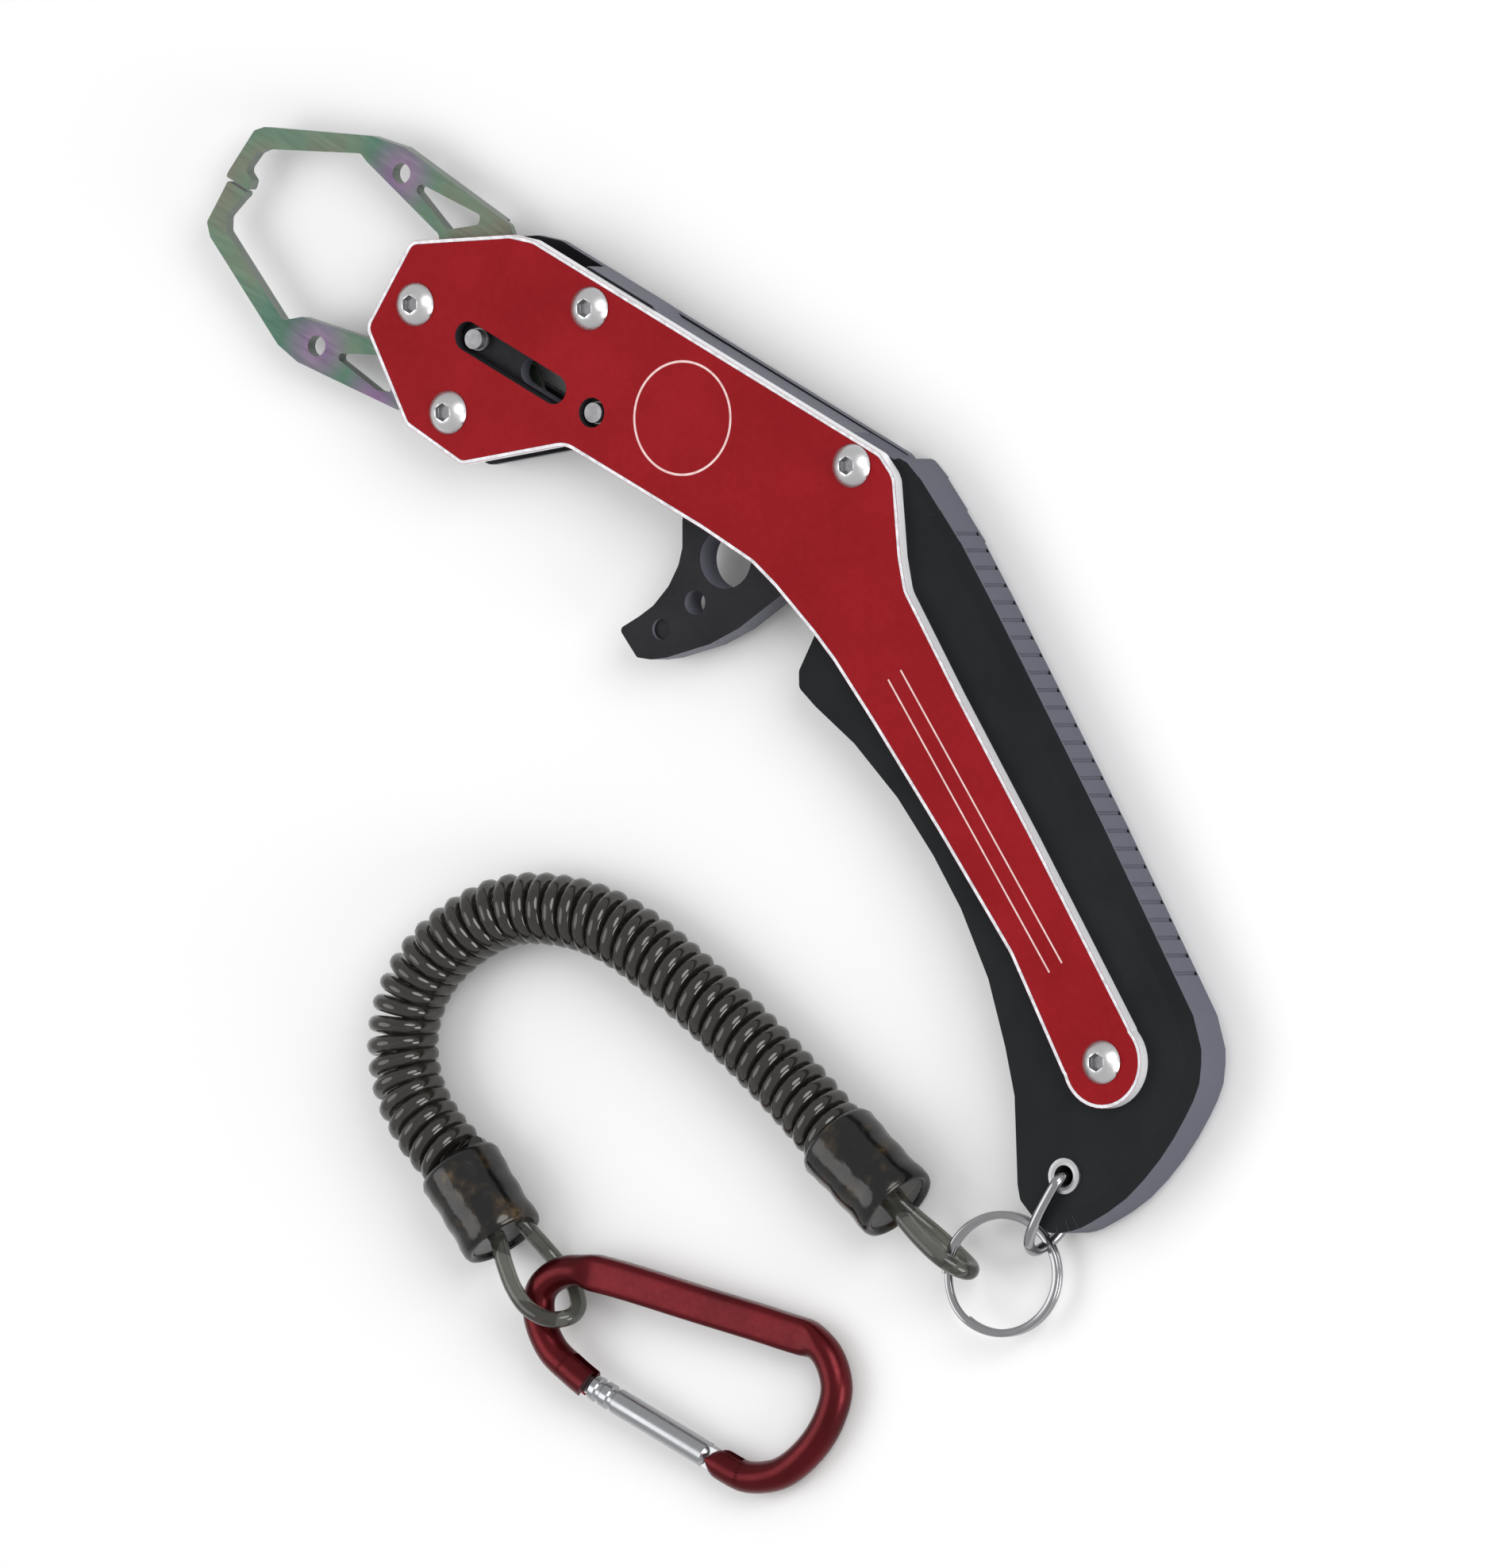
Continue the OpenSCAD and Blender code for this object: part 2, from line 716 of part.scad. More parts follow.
module carabiner_gate() {
    bar_end = gate_pivot[0] - clip_r - 0.6;
    bar_start = nose_x + 0.8;
    color([0.80, 0.80, 0.82])
    leaned()
    translate([gate_pivot[0], gate_pivot[1], 0])
    difference() {
        union() {
            translate([bar_start - gate_pivot[0], 0, 0])
            rotate([0, 90, 0])
            cylinder(r = gate_r, h = bar_end - bar_start);
            hull() {
                post([0, 0], 2.0, -0.95, 0.95);
                post([-4, 0], 1.9, -0.95, 0.95);
            }
            translate([nose_x - 4 - gate_pivot[0], -1.5, -0.95])
            cube([6, 3.0, 1.9]);
        }
        post([0, 0], 0.85, -2, 2);
    }
}

module gate_pin() {
    color([0.75, 0.75, 0.78])
    leaned()
    post(gate_pivot, 0.8, -2.2, 2.2);
}

front_plate();
rear_plate();
top_rail();
grip();
grip_insert();
post_sleeve();
pivot_bush();
jaw_washer();
jaw_spacer();
upper_jaw();
lower_jaw();
pull_rod();
drive_pin();
guide_pin();
trigger();
trigger_rivets();
return_spring();
plate_screws();
plate_nuts();
eyelet();
link();
split_ring();
cord_loop_grip();
cap_grip();
lanyard_coil();
cap_clip();
cord_loop_clip();
carabiner_body();
carabiner_gate();
gate_pin();
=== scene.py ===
"""Looks of the fish gripper: materials, fine shapes, the curly lanyard and its fittings.

Everything is in metres, in the CAD frame: +X along the barrel, +Z out of the front plate.
"""

import json
import math

import bpy
from mathutils import Matrix, Vector


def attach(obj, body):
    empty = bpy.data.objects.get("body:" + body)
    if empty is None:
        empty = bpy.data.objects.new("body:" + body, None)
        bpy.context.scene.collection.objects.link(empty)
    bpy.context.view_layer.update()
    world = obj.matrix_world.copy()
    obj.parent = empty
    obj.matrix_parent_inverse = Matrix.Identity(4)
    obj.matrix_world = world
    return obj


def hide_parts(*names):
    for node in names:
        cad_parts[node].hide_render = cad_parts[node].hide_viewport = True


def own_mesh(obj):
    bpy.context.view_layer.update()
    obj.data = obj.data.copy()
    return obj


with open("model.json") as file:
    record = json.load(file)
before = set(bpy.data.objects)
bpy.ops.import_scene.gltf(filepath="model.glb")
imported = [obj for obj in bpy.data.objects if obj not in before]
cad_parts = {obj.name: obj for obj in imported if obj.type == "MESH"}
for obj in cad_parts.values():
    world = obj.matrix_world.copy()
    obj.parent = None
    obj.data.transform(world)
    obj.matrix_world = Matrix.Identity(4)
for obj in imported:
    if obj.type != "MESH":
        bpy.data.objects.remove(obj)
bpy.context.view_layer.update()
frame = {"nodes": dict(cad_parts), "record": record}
MM = 0.001

# ---------------------------------------------------------------- camera

AXIS_YAW = math.radians(27.7)
TURN = math.radians(32.0)
AIM = Vector((98.3, -42.4, 12.7)) * MM
VIEW_HEIGHT = 0.2707
LENS = 900.0
SENSOR = 36.0


def make_camera():
    along = Vector((math.cos(AXIS_YAW), math.sin(AXIS_YAW), 0))
    up = Vector((-math.sin(AXIS_YAW), math.cos(AXIS_YAW), 0))
    back = math.sin(TURN) * along + math.cos(TURN) * Vector((0, 0, 1))
    right = up.cross(back)
    data = bpy.data.cameras.new("photo_camera")
    data.lens = LENS
    data.sensor_fit = "VERTICAL"
    data.sensor_height = SENSOR
    data.sensor_width = SENSOR
    data.clip_end = 20
    camera = bpy.data.objects.new("photo_camera", data)
    bpy.context.scene.collection.objects.link(camera)
    place = Matrix((right, up, back)).transposed().to_4x4()
    place.translation = AIM + back * (VIEW_HEIGHT * LENS / SENSOR)
    camera.matrix_world = place
    bpy.context.scene.camera = camera


make_camera()

# ---------------------------------------------------------------- materials


class Shader:
    """A Principled material with short calls for the nodes that feed it."""

    def __init__(self, name, color, metallic=0.0, roughness=0.5, **sockets):
        self.material = bpy.data.materials.new(name)
        self.material.use_nodes = True
        self.material.diffuse_color = (*color, 1)
        self.tree = self.material.node_tree
        self.surface = self.tree.nodes["Principled BSDF"]
        self.set(self.surface, "Base Color", (*color, 1))
        self.set(self.surface, "Metallic", metallic)
        self.set(self.surface, "Roughness", roughness)
        for socket, value in sockets.items():
            self.set(self.surface, socket.replace("_", " "), value)

    def set(self, node, socket, value):
        node.inputs[socket].default_value = value

    def add(self, kind, **inputs):
        node = self.tree.nodes.new("ShaderNode" + kind)
        for socket, value in inputs.items():
            self.feed(node, socket.replace("_", " "), value)
        return node

    def feed(self, node, socket, value):
        if isinstance(value, bpy.types.NodeSocket):
            self.tree.links.new(value, node.inputs[socket])
        else:
            node.inputs[socket].default_value = value

    def place(self, scale=(1, 1, 1)):
        """Object coordinates, stretched by scale."""
        where = self.add("TexCoord").outputs["Object"]
        mapping = self.add("Mapping")
        self.tree.links.new(where, mapping.inputs["Vector"])
        mapping.inputs["Scale"].default_value = scale
        return mapping.outputs["Vector"]

    def noise(self, scale, detail=3.0, rough=0.55, stretch=(1, 1, 1)):
        node = self.add("TexNoise", Vector=self.place(stretch), Scale=scale, Detail=detail)
        node.inputs["Roughness"].default_value = rough
        return node.outputs["Fac"]

    def ramp(self, value, *stops):
        """Colour ramp; each stop is (place, colour) with a grey or an RGB colour."""
        node = self.add("ValToRGB", Fac=value)
        while len(node.color_ramp.elements) < len(stops):
            node.color_ramp.elements.new(0.5)
        for element, (at, color) in zip(node.color_ramp.elements, stops):
            element.position = at
            element.color = (*color, 1) if isinstance(color, tuple) else (color, color, color, 1)
        return node.outputs["Color"]

    def mix(self, share, first, second):
        node = self.tree.nodes.new("ShaderNodeMix")
        node.data_type = "RGBA"
        for index, value in ((0, share), (6, first), (7, second)):
            if isinstance(value, bpy.types.NodeSocket):
                self.tree.links.new(value, node.inputs[index])
            else:
                node.inputs[index].default_value = (
                    (*value, 1) if isinstance(value, tuple) else value)
        return node.outputs[2]

    def calc(self, operation, *values):
        node = self.add("Math")
        node.operation = operation
        for index, value in enumerate(values):
            self.feed(node, index, value)
        return node.outputs[0]

    def fade(self, value, near, far):
        """1 up to near, falling to 0 at far."""
        node = self.add("MapRange", Value=value)
        for socket, at in (("From Min", near), ("From Max", far), ("To Min", 1.0), ("To Max", 0.0)):
            node.inputs[socket].default_value = at
        return node.outputs["Result"]

    def bump(self, height, strength, distance):
        node = self.add("Bump", Height=height, Strength=strength, Distance=distance)
        self.tree.links.new(node.outputs["Normal"], self.surface.inputs["Normal"])

    def drive(self, socket, value):
        self.tree.links.new(value, self.surface.inputs[socket])


def face_mask(shader, low, high):
    """1 on faces square to the plate's normal, 0 on its chamfers and side walls."""
    normal = shader.add("TexCoord").outputs["Normal"]
    upright = shader.add("SeparateXYZ", Vector=normal).outputs["Z"]
    return shader.ramp(shader.calc("ABSOLUTE", upright), (low, 0.0), (high, 1.0))


def near_runs(shader, runs, low, high):
    """1 close to the (from, to) runs along the X axis, seen from the front; 0 beyond the reach."""
    where = shader.add("SeparateXYZ", Vector=shader.add("TexCoord").outputs["Object"])
    x, y = where.outputs["X"], where.outputs["Y"]
    nearest = None
    for start, end in runs:
        off = shader.calc(
            "SUBTRACT", x, shader.calc("MINIMUM", shader.calc("MAXIMUM", x, start), end))
        squares = shader.calc(
            "ADD", shader.calc("MULTIPLY", off, off), shader.calc("MULTIPLY", y, y))
        gap = shader.calc("SQRT", squares)
        nearest = gap if nearest is None else shader.calc("MINIMUM", nearest, gap)
    return shader.fade(nearest, low, high)


# The centre lines of the plate's slot and of the guide pin's window; the plate's walls round them
# are painted dark as shade.
SLOT_RUNS = ((0.0121, 0.0320), (0.0408, 0.0408))


def red_plate():
    """Red anodised face, bare bright outer edges; the walls in the slot and the pin's window are
    painted dark as shade.
    """
    s = Shader("red_anodised", (0.21, 0.005, 0.008), metallic=0.25, roughness=0.45,
               Specular_IOR_Level=0.09)
    cloud = s.noise(60, 2)
    red = s.ramp(cloud, (0.3, (0.205, 0.003, 0.006)), (0.7, (0.240, 0.005, 0.009)))
    face = face_mask(s, 0.955, 0.985)
    # Painted shade: near the slot and the pin's window the walls get near-black instead of the bare
    # metal colour.
    slot_wall_shade = near_runs(s, SLOT_RUNS, 0.00263, 0.00272)
    edge = s.mix(slot_wall_shade, (0.80, 0.80, 0.82), (0.035, 0.035, 0.040))
    s.drive("Base Color", s.mix(face, edge, red))
    grain = s.noise(5200, 2)
    s.drive("Roughness", s.ramp(s.noise(900, 3), (0.2, 0.36), (0.8, 0.5)))
    s.bump(grain, 0.18, 0.00003)
    return s.material


def black_metal(name="black_anodised", lit_wall_paint=(0.12, 0.12, 0.15)):
    """Black anodising; the edges and side walls are painted a violet grey as painted light on the
    lit walls.
    """
    s = Shader(name, (0.014, 0.014, 0.016), metallic=0.0, roughness=0.46, Specular_IOR_Level=0.12)
    face = s.ramp(s.noise(90, 3), (0.3, (0.007, 0.007, 0.009)), (0.75, (0.015, 0.015, 0.018)))
    # Painted light: side walls and edges get a lighter violet grey than the black face.
    s.drive("Base Color", s.mix(face_mask(s, 0.90, 0.98), lit_wall_paint, face))
    s.drive("Roughness", s.ramp(s.noise(1400, 3), (0.25, 0.36), (0.8, 0.52)))
    s.bump(s.noise(4200, 2), 0.15, 0.00003)
    return s.material


def grip_plastic():
    """Fine spark-eroded texture with a little handling polish; the side walls are painted paler as
    painted light.
    """
    s = Shader("grip_plastic", (0.009, 0.009, 0.011), roughness=0.55, Specular_IOR_Level=0.10)
    dark = s.ramp(s.noise(40, 4), (0.3, (0.008, 0.009, 0.010)), (0.8, (0.014, 0.015, 0.017)))
    # Painted light: side walls get a paler blue grey than the black face.
    s.drive("Base Color", s.mix(face_mask(s, 0.75, 0.93), (0.098, 0.101, 0.126), dark))
    s.drive("Roughness", s.ramp(s.noise(120, 4), (0.3, 0.50), (0.75, 0.66)))
    s.bump(s.noise(2600, 3, 0.6), 0.35, 0.00006)
    return s.material


def near_points(shader, points, low, high):
    """1 close to the nearest of the points, 0 beyond the reach; metres in the CAD frame."""
    where = shader.add("TexCoord").outputs["Object"]
    nearest = None
    for point in points:
        gap = shader.add("VectorMath")
        gap.operation = "DISTANCE"
        shader.feed(gap, 0, where)
        shader.feed(gap, 1, point)
        reach = gap.outputs["Value"]
        nearest = reach if nearest is None else shader.calc("MINIMUM", nearest, reach)
    return shader.fade(nearest, low, high)


JAW_HOLES = [(-0.0163, 0.0173, 0.006), (-0.0179, -0.0173, 0.006), (-0.003, -0.0205, 0.006)]


def jaw_steel():
    """Heat-tinted coating: green and olive, purple round the holes, over brushed steel."""
    s = Shader("jaw_coating", (0.12, 0.15, 0.12), metallic=0.8, roughness=0.36)
    green = s.ramp(
        s.noise(55, 3, 0.5),
        (0.30, (0.034, 0.070, 0.052)),
        (0.45, (0.050, 0.102, 0.074)),
        (0.58, (0.080, 0.118, 0.084)),
        (0.72, (0.102, 0.096, 0.074)),
    )
    purple = s.ramp(s.noise(150, 2), (0.3, (0.104, 0.060, 0.126)), (0.7, (0.155, 0.110, 0.162)))
    tint = s.mix(near_points(s, JAW_HOLES, 0.0020, 0.0075), green, purple)
    # Painted highlight: chamfers and side walls get a plain lighter grey instead of the tint.
    s.drive("Base Color", s.mix(face_mask(s, 0.90, 0.985), (0.20, 0.225, 0.20), tint))
    brushed = s.noise(900, 3, 0.6, (0.15, 1.6, 1.6))
    s.drive("Roughness", s.ramp(brushed, (0.25, 0.28), (0.8, 0.46)))
    s.bump(brushed, 0.16, 0.00004)
    return s.material


def bright_metal(name, color, roughness, grain=1500, relief=0.08):
    s = Shader(name, color, metallic=1.0, roughness=roughness)
    s.drive("Roughness",
            s.ramp(s.noise(grain, 3), (0.25, roughness * 0.7), (0.8, roughness * 1.35)))
    s.bump(s.noise(grain * 2, 2), relief, 0.00002)
    return s.material


SOCKET_FLOOR, SOCKET_SIDE = 0.01385, 0.0141


def screw_steel():
    """Bright button heads whose hexagon socket falls into shade."""
    s = Shader("screw_steel", (0.72, 0.72, 0.74), metallic=1.0, roughness=0.32)
    height = s.add("SeparateXYZ", Vector=s.add("TexCoord").outputs["Object"]).outputs["Z"]
    low = s.fade(height, SOCKET_FLOOR, SOCKET_SIDE)
    floor = s.calc("MULTIPLY", low, face_mask(s, 0.97, 0.995))
    # Painted shade: the socket floor is coloured dark instead of bright steel.
    s.drive("Base Color", s.mix(floor, (0.62, 0.62, 0.63), (0.13, 0.13, 0.135)))
    s.drive("Roughness", s.ramp(s.noise(1500, 3), (0.25, 0.26), (0.8, 0.42)))
    s.bump(s.noise(3000, 2), 0.08, 0.00002)
    return s.material


def pin_steel():
    """Ground pin ends, duller than the screws."""
    s = Shader("turned_steel", (0.30, 0.30, 0.31), metallic=0.9, roughness=0.55)
    s.drive("Base Color",
            s.ramp(s.noise(600, 3), (0.3, (0.24, 0.24, 0.25)), (0.75, (0.36, 0.36, 0.37))))
    s.drive("Roughness", s.ramp(s.noise(1500, 3), (0.25, 0.48), (0.8, 0.62)))
    s.bump(s.noise(3000, 2), 0.08, 0.00002)
    return s.material


def smoky(name, color, transmission, roughness, lumps, gloss=0.5):
    """Smoky clear plastic: dark, glossy, with faint flow marks."""
    s = Shader(name, color, roughness=roughness, IOR=1.49, Transmission_Weight=transmission,
               Specular_IOR_Level=gloss)
    tint = tuple(min(1.0, c * 1.6) for c in color)
    s.drive("Base Color", s.ramp(s.noise(150, 3), (0.3, color), (0.8, tint)))
    s.drive("Roughness", s.ramp(s.noise(700, 2), (0.3, roughness * 0.7), (0.8, roughness * 1.5)))
    s.bump(s.noise(lumps, 2), 0.25, 0.0001)
    return s.material


def cap_plastic():
    """Near-black shrunk sleeve with brown light in its thin places."""
    s = Shader("cap_smoke", (0.006, 0.005, 0.004), roughness=0.16, Specular_IOR_Level=0.42)
    s.drive("Base Color", s.ramp(s.noise(210, 3, 0.6), (0.50, (0.004, 0.004, 0.004)),
                                 (0.62, (0.020, 0.014, 0.008)), (0.74, (0.075, 0.050, 0.026))))
    s.drive("Roughness", s.ramp(s.noise(500, 2), (0.3, 0.10), (0.8, 0.24)))
    s.bump(s.noise(300, 3), 0.4, 0.00025)
    return s.material


def red_clip():
    s = Shader("clip_anodised", (0.14, 0.004, 0.009), metallic=0.75, roughness=0.25)
    cloud = s.noise(70, 3)
    s.drive("Base Color",
            s.ramp(cloud, (0.3, (0.065, 0.0018, 0.004)), (0.75, (0.115, 0.004, 0.008))))
    s.drive("Roughness", s.ramp(s.noise(1100, 3), (0.25, 0.24), (0.8, 0.38)))
    s.bump(s.noise(3500, 2), 0.08, 0.00002)
    return s.material


def pale_paint():
    s = Shader("mark_paint", (0.78, 0.55, 0.53), roughness=0.5)
    s.drive("Base Color",
            s.ramp(s.noise(700, 3), (0.3, (0.66, 0.40, 0.38)), (0.7, (0.80, 0.60, 0.58))))
    return s.material


MATERIALS = {
    "red_plate": red_plate(),
    "black_plate": black_metal(),
    "grip_plastic": grip_plastic(),
    "insert_brass": bright_metal("brass_insert", (0.72, 0.52, 0.22), 0.35),
    "steel": pin_steel(),
    "jaw_steel": jaw_steel(),
    "black_steel": black_metal("blackened_steel"),
    "trigger_black": black_metal("trigger_anodised"),
    "screw_steel": screw_steel(),
    "chrome": bright_metal("ring_steel", (0.33, 0.33, 0.34), 0.17, 500, 0.02),
    "cord_smoke": smoky("cord_smoke", (0.033, 0.029, 0.024), 0.62, 0.06, 160, 0.85),
    "cap_smoke": cap_plastic(),
    "clip_red": red_clip(),
    "gate_aluminium": bright_metal("gate_aluminium", (0.36, 0.365, 0.38), 0.24, 260, 0.01),
}
LOOP_SMOKE = smoky("loop_smoke", (0.115, 0.118, 0.100), 0.80, 0.05, 120, 0.7)
MARK_PAINT = pale_paint()
EDGE_METAL = bright_metal("milled_edge", (0.47, 0.47, 0.49), 0.42, 900, 0.03)

# ---------------------------------------------------------------- shape helpers


def smooth_path(points, steps):
    """Spline through given points in millimetres, returned in metres."""
    pts = [Vector(p) for p in points]
    out = []
    for i in range(len(pts) - 1):
        a = pts[max(i - 1, 0)]
        b, c = pts[i], pts[i + 1]
        d = pts[min(i + 2, len(pts) - 1)]
        for k in range(steps):
            t = k / steps
            out.append(0.5 * (2 * b + (c - a) * t + (2 * a - 5 * b + 4 * c - d) * t * t
                              + (3 * b - a - 3 * c + d) * t ** 3) * MM)
    out.append(pts[-1] * MM)
    return out


def even_path(points, count):
    """The same line with count evenly spaced points."""
    runs = [0.0]
    for a, b in zip(points, points[1:]):
        runs.append(runs[-1] + (b - a).length)
    out = []
    i = 0
    for k in range(count):
        want = runs[-1] * k / (count - 1)
        while i < len(points) - 2 and runs[i + 1] < want:
            i += 1
        share = (want - runs[i]) / (runs[i + 1] - runs[i])
        out.append(points[i].lerp(points[i + 1], share))
    return out


def frames_along(path, closed=False):
    """Side and up directions carried along a path without twist."""
    count = len(path)
    frames = []
    side = None
    for i in range(count):
        if closed:
            run = path[(i + 1) % count] - path[i - 1]
        else:
            run = path[min(i + 1, count - 1)] - path[max(i - 1, 0)]
        run.normalize()
        if side is None:
            seed = Vector((0, 0, 1)) if abs(run.z) < 0.9 else Vector((0, 1, 0))
            side = seed.cross(run)
        side = (side - run * side.dot(run)).normalized()
        frames.append((side.copy(), run.cross(side)))
    return frames


def sweep(path, section, closed=False):
    """Vertices and faces of a section carried along a path; section(i) gives (side, up) pairs."""
    verts, faces = [], []
    frames = frames_along(path, closed)
    for i, (point, (side, up)) in enumerate(zip(path, frames)):
        verts += [point + side * a + up * b for a, b in section(i)]
    n = len(section(0))
    rings = len(path)
    for i in range(rings if closed else rings - 1):
        j = (i + 1) % rings
        for k in range(n):
            m = (k + 1) % n
            faces.append((i * n + k, i * n + m, j * n + m, j * n + k))
    if not closed:
        faces.append(tuple(range(n - 1, -1, -1)))
        faces.append(tuple((rings - 1) * n + k for k in range(n)))
    return verts, faces


def circle(r, sides):
    return [(r * math.cos(2 * math.pi * k / sides), r * math.sin(2 * math.pi * k / sides))
            for k in range(sides)]


def join(*parts):
    verts, faces = [], []
    for v, f in parts:
        base = len(verts)
        verts += v
        faces += [tuple(base + i for i in face) for face in f]
    return verts, faces


def make_mesh(name, shape, material, smooth_angle=35):
    verts, faces = shape
    mesh = bpy.data.meshes.new(name)
    mesh.from_pydata([tuple(v) for v in verts], [], faces)
    mesh.validate()
    mesh.materials.append(material)
    obj = bpy.data.objects.new(name, mesh)
    bpy.context.scene.collection.objects.link(obj)
    mesh.shade_smooth()
    mesh.set_sharp_from_angle(angle=math.radians(smooth_angle))
    return obj


def revolve(profile, sides, ripple=None):
    """Solid of revolution about X; profile holds (x, radius) pairs from axis to axis."""
    verts, faces = [], []
    for x, r in profile:
        for k in range(sides):
            a = 2 * math.pi * k / sides
            extra = ripple(x, a) if ripple and r > 0.004 else 0.0
            verts.append(Vector((x, (r + extra) * math.cos(a), (r + extra) * math.sin(a))))
    for i in range(len(profile) - 1):
        for k in range(sides):
            m = (k + 1) % sides
            faces.append((i * sides + k, (i + 1) * sides + k, (i + 1) * sides + m, i * sides + m))
    faces.append(tuple(range(sides)))
    faces.append(tuple((len(profile) - 1) * sides + k for k in range(sides - 1, -1, -1)))
    return verts, faces


def prism(outline, low, high):
    """Upright prism over a flat outline of (x, y) points."""
    n = len(outline)
    verts = [Vector((x, y, z)) for z in (low, high) for x, y in outline]
    faces = [tuple(range(n - 1, -1, -1)), tuple(range(n, 2 * n))]
    faces += [(k, (k + 1) % n, n + (k + 1) % n, n + k) for k in range(n)]
    return verts, faces


def moved(shape, matrix):
    verts, faces = shape
    return [matrix @ v for v in verts], faces


def cord_curve(name, path, diameter, material):
    data = bpy.data.curves.new(name, "CURVE")
    data.dimensions = "3D"
    data.bevel_depth = diameter / 2
    data.bevel_resolution = 4
    data.use_fill_caps = True
    spline = data.splines.new("POLY")
    spline.points.add(len(path) - 1)
    for point, p in zip(spline.points, path):
        point.co = (*p, 1)
    spline.use_smooth = True
    data.materials.append(material)
    obj = bpy.data.objects.new(name, data)
    bpy.context.scene.collection.objects.link(obj)
    return obj


# ---------------------------------------------------------------- CAD nodes

WELD_GAP = 0.000002
BEVEL_SEGMENTS = 2
SHARP_EDGE = math.radians(38)


def dress(node, slot, bevel):
    """Gives a CAD node its material and, where asked, fine edge breaks."""
    obj = frame["nodes"][node]
    obj.data.materials.clear()
    obj.data.materials.append(MATERIALS[slot])
    if bevel:
        weld = obj.modifiers.new("weld", "WELD")
        weld.merge_threshold = WELD_GAP
        edge = obj.modifiers.new("edges", "BEVEL")
        edge.width = bevel * MM
        edge.segments = BEVEL_SEGMENTS
        edge.limit_method = "ANGLE"
        edge.angle_limit = SHARP_EDGE
        edge.harden_normals = True
        even = obj.modifiers.new("normals", "WEIGHTED_NORMAL")
        even.keep_sharp = True


SLOTS = {entry["node"]: entry["material_slot"] for entry in frame["record"]["subparts"]}
EDGE_BREAK = {
    "front_plate": 0.2,
    "rear_plate": 0.3,
    "top_rail": 0.3,
    "grip": 0.35,
    "upper_jaw": 0.45,
    "lower_jaw": 0.45,
    "pull_rod": 0.25,
    "trigger": 0.5,
    "drive_pin": 0.3,
    "guide_pin": 0.3,
    "plate_nuts": 0.25,
    "plate_screws": 0.12,
}
for node_name, slot_name in SLOTS.items():
    dress(node_name, slot_name, EDGE_BREAK.get(node_name, 0.0))

# ---------------------------------------------------------------- lanyard

CORD = 3.0 * MM
COIL_RADIUS = 4.85 * MM
COIL_TURNS = 43
POINTS_PER_TURN = 18
CAP_RADIUS = 7.55 * MM
LOOP_GRIP_LENGTH = 0.042
LOOP_CLIP_LENGTH = 0.050
CAP_GRIP = (Vector((140.2, -89.3, 7.7)) * MM, Vector((157.2, -93.7, 7.7)) * MM)
CAP_CLIP = (Vector((74.3, -129.6, 7.7)) * MM, Vector((88.8, -136.7, 7.7)) * MM)
COIL_ROUTE = [(140.2, -89.3, 7.4), (127.8, -85.9, 6.8), (113.7, -82.6, 6.6), (99.2, -80.0, 6.6),
              (85.4, -78.6, 6.6), (74.1, -80.3, 6.6), (63.0, -85.6, 6.6), (55.5, -94.6, 6.6),
              (51.9, -104.7, 6.6), (53.0, -114.5, 6.6), (58.1, -122.3, 6.6), (65.3, -126.9, 6.9),
              (74.3, -129.6, 7.4)]
LOOP_GRIP_ROUTE = [(155.8, -93.3, 9.4), (159.5, -94.4, 9.8), (164.5, -95.7, 10.4),
                   (169.5, -96.7, 10.5), (172.8, -97.2, 9.3), (174.2, -97.4, 6.8),
                   (173.0, -97.3, 4.2), (169.5, -96.9, 3.0), (164.5, -95.8, 3.4),
                   (159.5, -94.6, 4.8), (155.8, -93.5, 5.9)]
LOOP_CLIP_ROUTE = [(86.6, -135.6, 8.9), (88.9, -137.0, 9.4), (92.0, -139.6, 10.0),
                   (96.0, -142.3, 10.6), (100.3, -143.9, 10.9), (104.6, -143.8, 10.3),
                   (107.0, -142.2, 8.3), (106.3, -140.8, 5.4), (103.4, -139.3, 2.9),
                   (99.8, -137.8, 1.7), (95.6, -136.2, 2.2), (92.2, -134.3, 4.2),
                   (89.6, -133.0, 5.6), (87.6, -132.6, 6.2)]


def coil_path():
    """The cord's own line: a helix wound round the coil's route."""
    per_turn = POINTS_PER_TURN
    spine = even_path(smooth_path(COIL_ROUTE, 10), COIL_TURNS * per_turn + 1)
    frames = frames_along(spine)
    path = []
    for i, (point, (side, up)) in enumerate(zip(spine, frames)):
        turn = 2 * math.pi * i / per_turn
        path.append(point + COIL_RADIUS * (math.cos(turn) * side + math.sin(turn) * up))
    return path


def make_cap(name, ends):
    """Shrunk smoky sleeve over the crimped cord ends, hollow at its outer mouth."""
    run = ends[1] - ends[0]
    long = run.length
    r = CAP_RADIUS
    profile = [(0.0, 0.0005), (0.0, r - 0.0011), (0.0003, r - 0.0004), (0.0012, r)]
    rings = 10
    for k in range(1, rings):
        x = 0.0012 + (long - 0.0022) * k / rings
        profile.append((x, r - 0.00025 * (1 + math.cos(5.5 * k / rings * math.pi)) / 2))
    profile += [(long - 0.0009, r - 0.0001), (long - 0.0002, r - 0.0004), (long, r - 0.0009)]
    profile += [(long - 0.0002, r - 0.0015), (long - 0.0007, r - 0.0018), (long - 0.0008, 0.0005)]

    def ripple(x, a):
        fade = max(0.0, min(1.0, (x - 0.001) / 0.003, (long - 0.001 - x) / 0.003))
        wave = 0.6 * math.sin(2 * a + 260 * x) + 0.4 * math.sin(3 * a - 420 * x + 1.3)
        return -0.00010 * fade * (1 + wave)

    shape = revolve(profile, 48, ripple)
    turn = Vector((1, 0, 0)).rotation_difference(run).to_matrix().to_4x4()
    cap = make_mesh(name, moved(shape, Matrix.Translation(ends[0]) @ turn),
                    MATERIALS["cap_smoke"], 50)
    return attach(cap, "frame")


